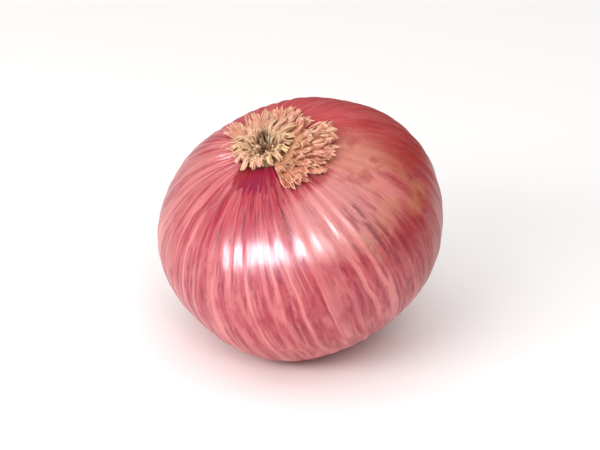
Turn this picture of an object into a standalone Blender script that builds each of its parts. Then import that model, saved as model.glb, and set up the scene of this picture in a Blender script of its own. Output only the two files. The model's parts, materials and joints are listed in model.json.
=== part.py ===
"""A red onion, dried and trimmed for sale: its bulb, root plate, roots, loose skin flaps and cut neck.

Metres, +Z up. The onion lies as it settles on a table: its root end points up and towards -Y, its cut
neck points down and towards +Y, and it rests on a small flat spot. The origin is on that spot's level,
below the middle of the onion's bounding box. Each piece is shaped about the bulb's own axis, where +Z is
the root end and 0 is the widest level, and an empty leans them all.
"""

import math
import random

import bmesh
import bpy
from mathutils import Vector

# Bulb
BULB_RADIUS = 0.0334  # at the widest level
ROOT_HEIGHT = 0.0235  # from the widest level to the root end, before it is flattened
NECK_HEIGHT = 0.0282  # from the widest level to the neck end
LEAN = math.radians(24.3)  # of the bulb's axis from the vertical
REST_DEPTH = 0.00115  # how far the resting spot is pressed in
REST_RADIUS = 0.0083  # of the flat spot, out to its corners
REST_CORNERS = 6
REST_EASE = 0.12  # slope of the pressed skin round the flat spot
LOBES = ((2, 0.012, 0.6), (3, 0.010, 2.1), (4, 0.006, 4.0))  # waves round the bulb, share, phase

# Root end
ROOT_FLATTENING = 0.0012  # how far the skin dips towards the root plate
ROOT_DIP_WIDTH = 0.0100
PLATE_RADIUS = 0.0058
PLATE_THICKNESS = 0.0018
PLATE_HOLLOW = 0.0009  # depth of the plate's bare middle
PLATE_SEAT_DEPTH = 0.0009  # how deep the plate sits in the skin
PLATE_SHOULDER = 0.78  # where the plate's edge starts to round, as a share of its radius
ROOT_RADIUS = 0.00048
ROOT_TIP_SHARE = 0.62  # a root's radius at its tip
ROOT_RINGS = (  # count, share of the plate's radius, rise at the base in degrees, length
    (8, 0.42, 60, 0.0026),
    (20, 0.84, 20, 0.0036),
)
ROOT_DROOP = 34  # degrees that a root turns down over its length
ROOT_CURL = 0.16  # how far roots lean round the plate
ROOT_POINTS = 6

# Loose skin round the root end
FLAP_THICKNESS = 0.0003
FLAPS = (  # width at the root plate in degrees, length, each anticlockwise of the one before
    (46, 0.0098),
    (34, 0.0080),
    (36, 0.0045),
    (40, 0.0052),
    (40, 0.0044),
    (40, 0.0034),
    (36, 0.0030),
)
FLAP_FIRST = -20  # degrees from +X to the first flap's edge
FLAP_START = 0.0006  # from the root plate's edge to the flaps' inner edge
FLAP_SPACING = 0.0005  # between neighbouring flaps
FLAP_LIFT = 0.0010  # how far a flap's free end curls up
FLAP_TAPER = 0.25  # how much narrower a flap gets towards its end

# Neck end
NECK_RADIUS = 0.0060
NECK_WALL = 0.0007  # the skin's rim round the neck
NECK_HOLLOW = 0.0018  # depth of the gap round the neck's middle
SHEATH_WALL = 0.0006
SHEATH_HEIGHT = 0.0016
CORE_RADIUS = 0.0032
PIT_RADIUS = 0.0007  # of a shrunken shoot in the neck's middle
PIT_DEPTH = 0.0012
PIT_OFFSET = 0.0012  # from the axis
PIT_TAPER = 0.6

GAP = 0.0003  # between pieces that touch
SEAT_CLEARANCE = 0.0004  # round the root plate
TURN_STEPS = 60  # round a turned piece
HALF_POINTS = 17  # down each half of the bulb
SEED = 11

SKIN = ("dry_skin", (0.55, 0.14, 0.12), 0.34)
PAPER = ("loose_skin", (0.72, 0.38, 0.26), 0.55)
CORK = ("root_cork", (0.42, 0.28, 0.15), 0.85)
FIBRE = ("root_fibre", (0.66, 0.50, 0.30), 0.80)
SHEATH = ("neck_sheath", (0.12, 0.05, 0.03), 0.70)


def clear_scene():
    for old in list(bpy.data.objects):
        bpy.data.objects.remove(old, do_unlink=True)


def new_collection(name):
    collection = bpy.data.collections.new(name)
    bpy.context.scene.collection.children.link(collection)
    return collection


def finish(name, colour, roughness):
    """A plain material of that name, made once."""
    found = bpy.data.materials.get(name)
    if found:
        return found
    made = bpy.data.materials.new(name)
    made.use_nodes = True
    shader = made.node_tree.nodes["Principled BSDF"]
    shader.inputs["Base Color"].default_value = (*colour, 1.0)
    shader.inputs["Roughness"].default_value = roughness
    shader.inputs["Metallic"].default_value = 0.0
    return made


def place(obj, collection, axis, look):
    """Links a piece, hangs it on the bulb's axis and gives it its finish."""
    collection.objects.link(obj)
    obj.parent = axis
    obj.data.materials.append(finish(*look))
    return obj


def skin_height(radius):
    """The skin's height above the widest level, on the root half, at that distance from the axis."""
    dip = ROOT_FLATTENING * math.exp(-((radius / ROOT_DIP_WIDTH) ** 2))
    return ROOT_HEIGHT * math.sqrt(1 - (radius / BULB_RADIUS) ** 2) - dip


def neck_depth(radius):
    """The skin's depth below the widest level, on the neck half, at that distance from the axis."""
    return NECK_HEIGHT * math.sqrt(1 - (radius / BULB_RADIUS) ** 2)


def half_outline(level, inner):
    """Points of the skin from the radius inner out to the widest level, at even turns of an ellipse."""
    start = math.asin(inner / BULB_RADIUS)
    points = []
    for i in range(HALF_POINTS):
        turn = start + (math.pi / 2 - start) * i / HALF_POINTS
        radius = BULB_RADIUS * math.sin(turn)
        points.append((radius, level(radius)))
    return points


SEAT_RADIUS = PLATE_RADIUS + SEAT_CLEARANCE
SEAT_LEVEL = skin_height(SEAT_RADIUS) - PLATE_SEAT_DEPTH
PLATE_TOP = SEAT_LEVEL + GAP + PLATE_THICKNESS
FLAP_INNER = PLATE_RADIUS + FLAP_START
RIM_DEPTH = neck_depth(NECK_RADIUS)
GROOVE_DEPTH = RIM_DEPTH - NECK_HOLLOW


def turned(name, outline):
    """A mesh turned about Z from an outline of (radius, height) points that runs down its outer side."""
    mesh = bpy.data.meshes.new(name)
    edges = [(i, i + 1) for i in range(len(outline) - 1)]
    mesh.from_pydata([(r, 0, z) for r, z in outline], edges, [])
    profile = bpy.data.objects.new(name + "_outline", mesh)
    bpy.context.scene.collection.objects.link(profile)
    screw = profile.modifiers.new("turn", "SCREW")
    screw.steps = TURN_STEPS
    screw.render_steps = TURN_STEPS
    screw.use_merge_vertices = True
    screw.merge_threshold = 0.00001
    screw.use_smooth_shade = True
    bpy.context.view_layer.update()
    graph = bpy.context.evaluated_depsgraph_get()
    made = bpy.data.meshes.new_from_object(profile.evaluated_get(graph))
    bpy.data.objects.remove(profile, do_unlink=True)
    bpy.data.meshes.remove(mesh)
    made.name = name
    return made


def closed_ring(name, outline):
    """A turned ring: the outline closes on itself and stays off the axis."""
    return turned(name, [*outline, outline[0]])


def press_lobes(mesh):
    """Makes the bulb a little out of round, most at its widest."""
    for vertex in mesh.vertices:
        radius = math.hypot(vertex.co.x, vertex.co.y)
        around = math.atan2(vertex.co.y, vertex.co.x)
        swell = sum(share * math.cos(waves * around + phase) for waves, share, phase in LOBES)
        grown = 1 + swell * (radius / BULB_RADIUS)
        vertex.co.x *= grown
        vertex.co.y *= grown


def cut(obj, cutter, name, operation):
    modifier = obj.modifiers.new(name, "BOOLEAN")
    modifier.operation = operation
    modifier.solver = "EXACT"
    modifier.object = cutter


def as_cutter(obj, collection):
    collection.objects.link(obj)
    obj.hide_render = True
    obj.display_type = "WIRE"
    return obj


def bulb_mesh():
    """The bulb with its seat for the root plate and its hollow neck round a solid middle."""
    root_half = half_outline(skin_height, SEAT_RADIUS)
    neck_half = half_outline(neck_depth, NECK_RADIUS)
    rim = NECK_WALL / 2
    wall = NECK_RADIUS - NECK_WALL
    outline = [(0, SEAT_LEVEL), (SEAT_RADIUS, SEAT_LEVEL)]
    outline += root_half
    outline.append((BULB_RADIUS, 0))
    outline += [(radius, -depth) for radius, depth in reversed(neck_half)]
    outline.append((NECK_RADIUS - rim, -RIM_DEPTH - rim / 2))
    outline += [(wall, -RIM_DEPTH), (wall, -GROOVE_DEPTH), (CORE_RADIUS, -GROOVE_DEPTH)]
    outline += [(CORE_RADIUS, rim - RIM_DEPTH), (0, -RIM_DEPTH)]
    mesh = turned("bulb", outline)
    press_lobes(mesh)
    return mesh


def neck_pit(name, side, axis, cutters):
    """A cutter for one of the two shrunken shoots in the neck's middle."""
    mesh = bpy.data.meshes.new(name)
    shape = bmesh.new()
    bottom = PIT_TAPER * PIT_RADIUS
    bmesh.ops.create_cone(
        shape, cap_ends=True, segments=12, radius1=PIT_RADIUS, radius2=bottom, depth=2 * PIT_DEPTH
    )
    shape.to_mesh(mesh)
    shape.free()
    pit = as_cutter(bpy.data.objects.new(name, mesh), cutters)
    pit.parent = axis
    pit.location = (side * PIT_OFFSET, 0, -RIM_DEPTH)
    return pit


def resting_point():
    """Where the middle of the leaning neck half's resting spot is, along Y from the bulb's middle."""
    reach = math.hypot(BULB_RADIUS * math.sin(LEAN), NECK_HEIGHT * math.cos(LEAN))
    lowest = (NECK_HEIGHT**2 - BULB_RADIUS**2) * math.sin(LEAN) * math.cos(LEAN) / reach
    return lowest * (1 - REST_DEPTH / reach)


def resting_bowl(axis, cutters):
    """A bowl that presses the bulb's underside: a flat spot with corners, and a faint slope round it."""
    height = 3 * BULB_RADIUS
    mesh = bpy.data.meshes.new("resting_bowl")
    shape = bmesh.new()
    brim = REST_RADIUS + height / REST_EASE
    bmesh.ops.create_cone(
        shape, cap_ends=True, segments=REST_CORNERS, radius1=REST_RADIUS, radius2=brim, depth=height
    )
    shape.to_mesh(mesh)
    shape.free()
    bowl = as_cutter(bpy.data.objects.new("resting_bowl", mesh), cutters)
    bowl.location = (axis.location.x, axis.location.y + resting_point(), height / 2)
    return bowl


def root_plate(collection, axis):
    """The corky disc that the roots grow from: rounded at its edge and hollow in its middle."""
    under = SEAT_LEVEL + GAP
    outline = [(0, PLATE_TOP - PLATE_HOLLOW)]
    steps = 6
    for i in range(1, steps):
        share = i / steps
        rise = PLATE_HOLLOW * (1 - math.cos(math.pi * share)) / 2
        outline.append((PLATE_SHOULDER * PLATE_RADIUS * share, PLATE_TOP - PLATE_HOLLOW + rise))
    bend = (1 - PLATE_SHOULDER) * PLATE_RADIUS
    for i in range(5):
        turn = math.pi / 2 * i / 4
        outline.append((PLATE_RADIUS - bend * (1 - math.sin(turn)), PLATE_TOP - bend * (1 - math.cos(turn))))
    outline += [(PLATE_RADIUS, under), (0, under)]
    mesh = turned("root_plate", outline)
    return place(bpy.data.objects.new("root_plate", mesh), collection, axis, CORK)


def plate_height(radius):
    """The plate's top, at that distance from the axis, inside its rounded edge."""
    share = min(1.0, radius / (PLATE_SHOULDER * PLATE_RADIUS))
    return PLATE_TOP - PLATE_HOLLOW * (1 + math.cos(math.pi * share)) / 2


def flap_height(radius, length):
    """The middle of a flap's thickness above the skin, at that distance from the axis."""
    along = max(0.0, radius - FLAP_INNER) / length
    return GAP + FLAP_THICKNESS / 2 + FLAP_LIFT * along**2


def root_floor(radius):
    """The lowest that a root's middle comes at that distance from the axis: clear of every flap."""
    shortest = min(length for _, length in FLAPS)
    clear_of_flaps = flap_height(min(radius, FLAP_INNER + shortest), shortest) + FLAP_THICKNESS / 2
    return skin_height(radius) + clear_of_flaps + GAP + ROOT_RADIUS


def root_path(around, start_radius, rise, length):
    """A root's points: it leaves the plate at rise degrees, droops outwards and leans to one side."""
    outward = Vector((math.cos(around), math.sin(around), 0))
    sideways = Vector((-math.sin(around), math.cos(around), 0))
    lean = ROOT_CURL * math.sin(2 * around + 1)
    step = length / (ROOT_POINTS - 1)
    at = outward * start_radius
    at.z = plate_height(start_radius) + GAP + ROOT_RADIUS
    points = [at]
    for i in range(1, ROOT_POINTS):
        slope = math.radians(rise - ROOT_DROOP * i / (ROOT_POINTS - 1))
        heading = outward * math.cos(slope) + Vector((0, 0, math.sin(slope))) + sideways * lean * i
        at = at + heading.normalized() * step
        at.z = max(at.z, root_floor(math.hypot(at.x, at.y)))
        points.append(at)
    return points


def root(name, points, collection, axis):
    """One trimmed root, thinner at its tip."""
    curve = bpy.data.curves.new(name, "CURVE")
    curve.dimensions = "3D"
    curve.bevel_depth = ROOT_RADIUS
    curve.bevel_resolution = 1
    curve.use_fill_caps = True
    spline = curve.splines.new("POLY")
    spline.points.add(ROOT_POINTS - 1)
    for i, point in enumerate(points):
        spline.points[i].co = (*point, 1)
        spline.points[i].radius = 1 - (1 - ROOT_TIP_SHARE) * i / (ROOT_POINTS - 1)
    return place(bpy.data.objects.new(name, curve), collection, axis, FIBRE)


def roots(collection, axis):
    """The trimmed roots, in rings on the root plate, a little out of step with one another."""
    chance = random.Random(SEED)
    number = 0
    for ring, (count, share, rise, length) in enumerate(ROOT_RINGS):
        start_radius = share * PLATE_RADIUS
        pitch = 2 * math.pi / count
        play = max(0.0, pitch - (2 * ROOT_RADIUS + GAP) / start_radius) / 2
        for i in range(count):
            number += 1
            around = pitch * (i + 0.5 * ring) + play * chance.uniform(-0.8, 0.8)
            reach = length * chance.uniform(0.8, 1.15)
            tilt = rise * chance.uniform(0.85, 1.15)
            root(f"root_{number:02d}", root_path(around, start_radius, tilt, reach), collection, axis)


def skin_flap(name, middle, span, length, collection, axis):
    """A loose papery flap that follows the skin outwards from the root plate and curls up at its end."""
    mesh = bpy.data.meshes.new(name)
    shape = bmesh.new()
    bmesh.ops.create_grid(shape, x_segments=8, y_segments=6, size=0.5)
    for vertex in shape.verts:
        across, along = 2 * vertex.co.x, vertex.co.y + 0.5
        narrowing = 1 - FLAP_TAPER * along**2
        radius = FLAP_INNER + length * (1 - 0.22 * across**2) * along
        around = middle + across * narrowing * span / 2
        height = skin_height(radius) + flap_height(radius, length)
        vertex.co = Vector((radius * math.cos(around), radius * math.sin(around), height))
    shape.to_mesh(mesh)
    shape.free()
    press_lobes(mesh)
    flap = place(bpy.data.objects.new(name, mesh), collection, axis, PAPER)
    solid = flap.modifiers.new("thickness", "SOLIDIFY")
    solid.thickness = FLAP_THICKNESS
    solid.offset = 0
    return flap


def skin_flaps(collection, axis):
    """The loose flaps, one after another round the root plate, with bare skin left at the end."""
    edge = math.radians(FLAP_FIRST)
    for i, (width, length) in enumerate(FLAPS):
        span = math.radians(width)
        skin_flap(f"skin_flap_{i + 1}", edge + span / 2, span, length, collection, axis)
        edge += span + FLAP_SPACING / FLAP_INNER


def neck_sheath(collection, axis):
    """The dried leaf base that stands as a ring in the neck's hollow."""
    outer = NECK_RADIUS - NECK_WALL - GAP
    inner = outer - SHEATH_WALL
    base = -GROOVE_DEPTH - GAP
    tip = base - SHEATH_HEIGHT
    outline = [(inner, base), (outer, base), (outer, tip), (inner, tip)]
    mesh = closed_ring("neck_sheath", outline)
    return place(bpy.data.objects.new("neck_sheath", mesh), collection, axis, SHEATH)


def points_in_world(collection):
    """Every corner of every piece, as the viewport evaluates it."""
    bpy.context.view_layer.update()
    graph = bpy.context.evaluated_depsgraph_get()
    found = []
    for obj in collection.objects:
        evaluated = obj.evaluated_get(graph)
        mesh = evaluated.to_mesh()
        found += [evaluated.matrix_world @ vertex.co for vertex in mesh.vertices]
        evaluated.to_mesh_clear()
    return found


def main():
    clear_scene()
    onion, cutters = new_collection("onion"), new_collection("cutters")
    axis = bpy.data.objects.new("bulb_axis", None)
    onion.objects.link(axis)
    axis.rotation_euler = (LEAN, 0, 0)

    bulb = bpy.data.objects.new("bulb", bulb_mesh())
    place(bulb, onion, axis, SKIN)
    root_plate(onion, axis)
    roots(onion, axis)
    skin_flaps(onion, axis)
    neck_sheath(onion, axis)

    onion.objects.unlink(axis)
    bpy.context.scene.collection.objects.link(axis)
    corners = points_in_world(onion)
    low = [min(corner[k] for corner in corners) for k in range(3)]
    high = [max(corner[k] for corner in corners) for k in range(3)]
    axis.location = (-(low[0] + high[0]) / 2, -(low[1] + high[1]) / 2, -low[2] - REST_DEPTH)

    cut(bulb, resting_bowl(axis, cutters), "resting_spot", "INTERSECT")
    for name, side in (("neck_pit_a", -1), ("neck_pit_b", 1)):
        cut(bulb, neck_pit(name, side, axis, cutters), name, "DIFFERENCE")


main()
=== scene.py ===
"""A dried red onion on a table, dressed over its packed frame: skin, roots and neck."""

import json
import math
import random

import bpy
import numpy as np
from mathutils import Matrix, Vector

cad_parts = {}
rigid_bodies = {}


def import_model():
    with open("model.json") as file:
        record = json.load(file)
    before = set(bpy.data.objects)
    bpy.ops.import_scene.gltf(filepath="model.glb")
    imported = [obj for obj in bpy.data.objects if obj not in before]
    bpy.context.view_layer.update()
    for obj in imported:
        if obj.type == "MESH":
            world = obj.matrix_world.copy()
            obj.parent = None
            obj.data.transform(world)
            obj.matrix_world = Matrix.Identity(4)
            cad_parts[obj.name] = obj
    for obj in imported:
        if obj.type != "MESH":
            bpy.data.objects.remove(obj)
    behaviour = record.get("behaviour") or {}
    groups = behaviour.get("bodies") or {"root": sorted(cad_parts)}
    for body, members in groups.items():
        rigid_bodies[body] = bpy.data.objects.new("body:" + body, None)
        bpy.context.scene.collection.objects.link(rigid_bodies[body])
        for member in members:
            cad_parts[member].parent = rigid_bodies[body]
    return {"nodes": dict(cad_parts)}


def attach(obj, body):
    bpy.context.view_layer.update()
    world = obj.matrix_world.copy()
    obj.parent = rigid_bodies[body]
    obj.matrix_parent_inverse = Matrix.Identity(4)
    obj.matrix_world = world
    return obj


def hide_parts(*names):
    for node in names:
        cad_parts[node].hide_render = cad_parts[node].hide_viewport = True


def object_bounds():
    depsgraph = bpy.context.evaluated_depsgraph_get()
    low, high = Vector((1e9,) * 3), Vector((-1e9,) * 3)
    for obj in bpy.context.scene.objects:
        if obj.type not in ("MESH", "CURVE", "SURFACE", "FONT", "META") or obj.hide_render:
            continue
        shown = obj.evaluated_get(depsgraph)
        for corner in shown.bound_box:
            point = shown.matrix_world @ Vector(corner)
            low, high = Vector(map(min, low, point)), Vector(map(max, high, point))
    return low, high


bl_info = {
    "name": "Red Onion",
    "version": (1, 0, 0),
    "blender": (4, 5, 0),
    "location": "3D View > Sidebar > Onion",
    "description": "Builds a dried red onion with its roots, loose skin and cut neck",
    "category": "Add Mesh",
}

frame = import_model()
FRAME_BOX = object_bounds()

# The bulb's own shape, in metres about its axis: 0 is the widest level and +Z the root end
BULB_RADIUS = 0.0334
ROOT_HEIGHT = 0.0235
NECK_HEIGHT = 0.0282
ROOT_FLATTENING = 0.0012
ROOT_DIP_WIDTH = 0.0100
LOBES = ((2, 0.012, 0.6), (3, 0.010, 2.1), (4, 0.006, 4.0))  # waves, share of the radius, phase
REST_RADIUS = 0.0076
REST_EASE = 0.12
REST_BAND = 0.00002

PLATE_RADIUS = 0.0058
PLATE_THICKNESS = 0.0018
PLATE_UNDER = 0.02167
PLATE_HOLLOW = 0.0009
PLATE_SHOULDER = 0.78
PLATE_ROUNDING = 0.0012
PLATE_KNOBS = 0.00016
PLATE_RINGS = 0.00010
PLATE_PITS = (  # degrees, out, size, depth
    (142, 0.0034, 0.0014, 0.0011),
    (-30, 0.0018, 0.0012, 0.0010),
)
NECK_RADIUS = 0.0060
NECK_RIM = -NECK_HEIGHT * math.sqrt(1 - (NECK_RADIUS / BULB_RADIUS) ** 2)
NECK_HOLLOW = 0.0018
LEAF_THICKNESS = 0.00016
LEAF_RINGS = (  # radius, height
    (0.0049, 0.0019),
    (0.0044, 0.0017),
    (0.0039, 0.0019),
    (0.0035, 0.0015),
)
CORE_RADIUS = 0.0030
PIT_OFFSET = 0.0012
PIT_RADIUS = 0.0008
PIT_DEPTH = 0.0012
SHOOTS = ((-1, 1.5, 0.55), (1, 0.6, 1.3))  # side, share of the pit's radius, how much narrower

FLOOR_HALF = 3.0
LIGHT_ROLL = math.radians(23)
SKY_COLOUR = (1.0, 0.99, 0.98, 1)

NODE_NAMES = sorted(frame["nodes"])


def paint(red, green, blue):
    """A colour from its screen values of 0 to 255."""
    shares = (value / 255 for value in (red, green, blue))
    return tuple(s / 12.92 if s <= 0.04045 else ((s + 0.055) / 1.055) ** 2.4 for s in shares)


def colour_choice(name, description, red, green, blue):
    """A colour that a user may change."""
    return bpy.props.FloatVectorProperty(
        name=name,
        description=description,
        default=paint(red, green, blue),
        subtype="COLOR",
        size=3,
        min=0,
        max=1,
    )


def number_choice(name, description, default, **kind):
    """A number that a user may change."""
    return bpy.props.FloatProperty(name=name, description=description, default=default, **kind)


def length_choice(name, description, default):
    """A length in metres that a user may change."""
    return number_choice(name, description, default, min=0, unit="LENGTH", precision=5)


class OnionSkinSettings(bpy.types.PropertyGroup):
    """The skin's relief and colours."""

    dent_depth: length_choice("Dents", "Depth of the broad dents", 0.00016)
    facet_depth: length_choice("Facets", "Depth of the long flats down the bulb", 0.00016)
    rib_depth: length_choice("Ribs", "Height of the fine ribs down the bulb", 0.00006)
    pleat_depth: length_choice("Pleats", "Depth of the pleats round the root end", 0.00014)
    layer_step: length_choice("Layer Step", "Thickness of the outer skin at its torn edge", 0.00022)
    vein: colour_choice("Veins", "Pale veins down the skin", 212, 126, 124)
    rose: colour_choice("Rose", "Skin between the veins", 176, 68, 82)
    streak: colour_choice("Streaks", "Dark streaks between the veins", 142, 22, 50)
    crimson: colour_choice("Crimson", "Skin towards the root end", 172, 24, 52)
    maroon: colour_choice("Maroon", "Darkest streaks and specks", 98, 4, 32)
    fresh: colour_choice("Fresh", "Inner skin where the outer one is torn off", 134, 0, 48)
    salmon: colour_choice("Salmon", "Skin towards the neck", 184, 74, 76)
    blush: colour_choice("Blush", "Paler skin on the shoulder", 206, 122, 118)
    coral: colour_choice("Coral", "Smooth skin on the upper side", 184, 62, 64)
    peach: colour_choice("Peach", "Dried pale skin", 198, 130, 108)
    gold: colour_choice("Gold", "Golden blotches", 190, 118, 74)
    # Brick is also laid on the right flank and upper right limb as painted shadow
    brick: colour_choice("Brick", "Deep warm skin", 150, 24, 14)
    petal: colour_choice("Petal", "Palest skin, beside the loose skin", 192, 122, 124)
    purple: colour_choice("Purple", "Middle of the freshest inner skin", 128, 2, 62)
    olive: colour_choice("Olive", "A dull streak between two veins", 206, 160, 132)
    rust: colour_choice("Rust", "A small bruise", 112, 36, 22)


class OnionRootSettings(bpy.types.PropertyGroup):
    """The root plate, the roots and their colours."""

    clumps: bpy.props.IntProperty(
        name="Clumps", description="Bunches of roots round the plate", default=17, min=6, max=40
    )
    strands: bpy.props.IntProperty(
        name="Strands", description="Roots in each bunch", default=11, min=2, max=20
    )
    thickness: length_choice("Thickness", "A root's radius where it grows from the plate", 0.00027)
    reach: length_choice("Reach", "How far from the axis the trimmed roots end", 0.0073)
    cream: colour_choice("Cream", "Dry roots", 222, 185, 147)
    tan: colour_choice("Tan", "Duller roots", 178, 132, 92)
    # Brown is the plate's own colour, and is also laid round the hollows of the root tuft as
    # painted shade
    brown: colour_choice("Brown", "Roots and plate down in the hollows", 104, 60, 28)
    blush: colour_choice("Blush", "Pinkish roots at the edge", 224, 170, 148)
    straw: colour_choice("Straw", "The brightest stub", 238, 212, 150)
    moss: colour_choice("Grey Green", "Tint on some roots in the middle", 158, 146, 114)


class OnionFlapSettings(bpy.types.PropertyGroup):
    """The loose skin and its colours."""

    thickness: length_choice("Thickness", "Thickness of the loose skin", 0.00014)
    raggedness: length_choice("Raggedness", "Depth of the tears in its edge", 0.0008)
    peach: colour_choice("Peach", "Loose dry skin", 204, 128, 98)
    tan: colour_choice("Tan", "Its dullest patches", 196, 140, 100)
    brown: colour_choice("Brown", "Its crinkles", 140, 60, 40)
    pink: colour_choice("Pink", "Loose skin that is fresher", 186, 82, 76)
    pale: colour_choice("Pale", "Thin edges and curled lips", 234, 186, 158)


class OnionNeckSettings(bpy.types.PropertyGroup):
    """The cut neck's colours."""

    dark: colour_choice("Dark", "Dried leaf bases round the neck", 58, 24, 16)
    tan: colour_choice("Tan", "Their frayed edges", 158, 104, 66)
    flesh: colour_choice("Flesh", "The neck's pale middle", 178, 134, 94)
    pit: colour_choice("Pit", "The shrunken shoots", 112, 28, 26)


class OnionStageSettings(bpy.types.PropertyGroup):
    """The camera, the lights and the floor."""

    azimuth: number_choice(
        "Azimuth", "Direction of the camera round the onion", math.radians(53), subtype="ANGLE"
    )
    elevation: number_choice(
        "Elevation", "Height of the camera above the table", math.radians(26), subtype="ANGLE"
    )
    distance: number_choice("Distance", "From the camera to the onion", 0.60, unit="LENGTH")
    lens: number_choice("Lens", "Focal length in millimetres", 158.0, unit="CAMERA")
    window_power: number_choice("Window", "Power of the wide main light, in watts", 1.4)
    side_power: number_choice("Side Light", "Power of the second light, in watts", 0.7)
    glare_power: number_choice("Glare", "Power of the light seen only as a shine, in watts", 9.2)
    top_power: number_choice("Overhead", "Power of the wide light above, in watts", 19.5)
    sky: number_choice("Sky", "Strength of the even light from all round", 0.43)
    floor: colour_choice("Floor", "Pale table top", 246, 245, 244)


def both_ways(operation):
    """An operator of Flow and its reflected form."""

    def plain(self, other):
        return self.sum(operation, self, other)

    def reflected(self, other):
        return self.sum(operation, other, self)

    return plain, reflected


def fill(tree, inputs, values):
    """Puts numbers or links into a node's inputs, by name or place."""
    for key, value in values.items():
        if isinstance(value, Flow):
            tree.links.new(value.socket, inputs[key])
        else:
            inputs[key].default_value = value


class Flow:
    """A value, vector or colour on its way through a material's nodes, used as in a sum."""

    def __init__(self, tree, socket=None):
        self.tree = tree
        self.socket = socket

    def node(self, kind, settings=None, sockets=None, output=0):
        """Adds a node: first its settings, then numbers or links into its sockets."""
        made = self.tree.nodes.new(kind)
        for name, value in (settings or {}).items():
            setattr(made, name, value)
        fill(self.tree, made.inputs, sockets or {})
        return Flow(self.tree, made.outputs[output])

    def sum(self, operation, first, second=None):
        """One Math node, or one Vector Math node where either side is a vector or a colour."""
        sides = {0: first} if second is None else {0: first, 1: second}
        links = [side for side in sides.values() if isinstance(side, Flow)]
        plain = all(link.socket.type in {"VALUE", "INT"} for link in links)
        if plain and not any(isinstance(side, (tuple, Vector)) for side in sides.values()):
            return self.node("ShaderNodeMath", {"operation": operation}, sides)
        for key, side in sides.items():
            if isinstance(side, (int, float)):
                sides[key] = (side, side, side)
        return self.node("ShaderNodeVectorMath", {"operation": operation}, sides)

    __add__, __radd__ = both_ways("ADD")
    __sub__, __rsub__ = both_ways("SUBTRACT")
    __mul__, __rmul__ = both_ways("MULTIPLY")
    __truediv__, __rtruediv__ = both_ways("DIVIDE")
    __pow__, __rpow__ = both_ways("POWER")
    __or__, __ror__ = both_ways("MAXIMUM")  # the larger of two values

    def rise(self, low, high):
        """0 to 1, smoothly, as the value goes from low to high."""
        sockets = {"Value": self, "From Min": low, "From Max": high}
        return self.node("ShaderNodeMapRange", {"interpolation_type": "SMOOTHSTEP"}, sockets)

    def grain(self, size, detail=3.0, roughness=0.55, output=0):
        """Noise over this vector, size times as fine."""
        sockets = {"Vector": self, "Scale": size, "Detail": detail, "Roughness": roughness}
        return self.node("ShaderNodeTexNoise", {}, sockets, output)

    def cell_edge(self, size):
        """The distance to the nearest edge between irregular cells over this vector."""
        sockets = {"Vector": self, "Scale": size, "Randomness": 1.0}
        return self.node("ShaderNodeTexVoronoi", {"feature": "DISTANCE_TO_EDGE"}, sockets)

    def cell(self, size):
        """The distance to the middle of the nearest cell over this vector."""
        return self.node("ShaderNodeTexVoronoi", {"feature": "F1"}, {"Vector": self, "Scale": size})

    def dot(self, other):
        """How far this direction agrees with another."""
        sockets = {0: self, 1: other}
        return self.node("ShaderNodeVectorMath", {"operation": "DOT_PRODUCT"}, sockets, "Value")

    def length(self):
        """The vector's length."""
        return self.node("ShaderNodeVectorMath", {"operation": "LENGTH"}, {0: self}, "Value")

    def part(self, axis):
        """One of the vector's three parts."""
        return self.node("ShaderNodeSeparateXYZ", {}, {0: self}, axis)

    def tinted(self, colour, share):
        """This colour, turned towards another by a share."""
        over = colour if isinstance(colour, Flow) else (*colour, 1)
        sockets = {0: share, 6: self, 7: over}
        return self.node("ShaderNodeMix", {"data_type": "RGBA"}, sockets, 2)


class Finish:
    """A material in the making: its coordinates and the shader that they end in."""

    def __init__(self, name):
        self.material = bpy.data.materials.new(name)
        self.material.use_nodes = True
        self.tree = self.material.node_tree
        self.shader = self.tree.nodes["Principled BSDF"]
        self.start = Flow(self.tree)
        spot = self.start.node("ShaderNodeTexCoord", output="Object")
        sockets = {"Vector": spot, "Location": SEATING.translation, "Rotation": SEATING.to_euler()}
        self.place = self.start.node("ShaderNodeMapping", {"vector_type": "TEXTURE"}, sockets)

    def colour(self, value):
        """A plain colour, to be worked on."""
        made = self.start.node("ShaderNodeRGB")
        made.socket.default_value = (*value, 1)
        return made

    def vector(self, x, y, z):
        """A vector of three values."""
        return self.start.node("ShaderNodeCombineXYZ", {}, {0: x, 1: y, 2: z})

    def trait(self, name):
        """A value that the mesh carries at each of its corners."""
        return self.start.node("ShaderNodeAttribute", {"attribute_name": name}, output="Fac")

    def bump(self, height, distance, strength=1.0):
        """Turns a height of 0 to 1 into small relief on the surface."""
        sockets = {"Height": height, "Distance": distance, "Strength": strength}
        self.set(Normal=self.start.node("ShaderNodeBump", {}, sockets))

    def set(self, **sockets):
        """Sets or links the shader's own sockets, named with _ for a space."""
        values = {name.replace("_", " "): value for name, value in sockets.items()}
        fill(self.tree, self.shader.inputs, values)

    def done(self, colour, roughness, shine):
        """The material, given its colour, roughness and shine."""
        self.set(Base_Color=colour, Roughness=roughness, Specular_IOR_Level=shine)
        return self.material


def corners_of(node):
    """The corners of a frame node, as rows of an array."""
    return np.array([corner.co for corner in frame["nodes"][node].data.vertices])


def bulb_seating():
    """Where the bulb stands: its middle and leaning axis, from two round nodes on that axis."""
    plate, sheath = corners_of("root_plate"), corners_of("neck_sheath")
    top, bottom = Vector(plate.mean(axis=0)), Vector(sheath.mean(axis=0))
    upward = (top - bottom).normalized()
    east = (Vector((1, 0, 0)) - upward * upward.x).normalized()
    north = upward.cross(east)
    under = (plate @ np.array(upward)).min()
    middle = top + upward * (under - PLATE_UNDER - top.dot(upward))
    turn = Matrix((east, north, upward)).transposed().to_4x4()
    return Matrix.Translation(middle) @ turn


SEATING = bulb_seating()
TURN = np.array(SEATING.to_3x3())
MIDDLE = np.array(SEATING.translation)


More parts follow.
